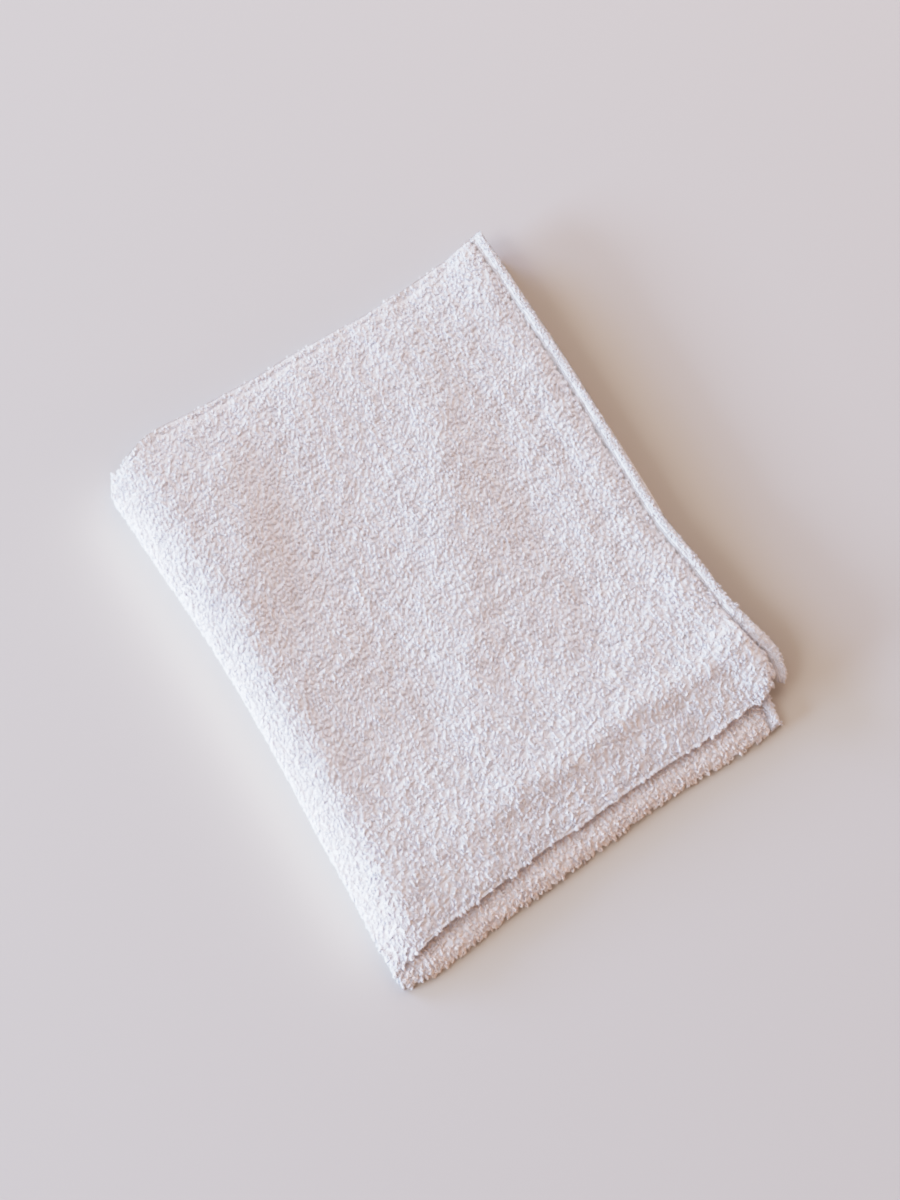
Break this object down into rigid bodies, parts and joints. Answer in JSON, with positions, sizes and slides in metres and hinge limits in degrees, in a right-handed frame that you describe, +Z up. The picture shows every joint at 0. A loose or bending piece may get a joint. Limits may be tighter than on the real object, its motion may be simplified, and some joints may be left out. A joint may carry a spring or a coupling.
{
  "type": "folded terry hand towel",
  "caption": "Hand towel of looped cotton, folded once over a soft round turn and lying flat, its hemmed ends together.",
  "frame": {"origin": "on the table under the middle of the folded towel's box", "axes": "+X from the rounded turn to the two hems, +Y from the selvedges in front to those at the back, +Z up"},
  "size_m": [0.2498, 0.315, 0.0174],
  "materials": {
    "terry_cotton": "dull white looped cotton with short soft loops on both faces, smooth woven selvedges and narrow stitched hems"
  },
  "bodies": {
    "root": {"towel_panel": "terry_cotton"}
  },
  "joints": []
}
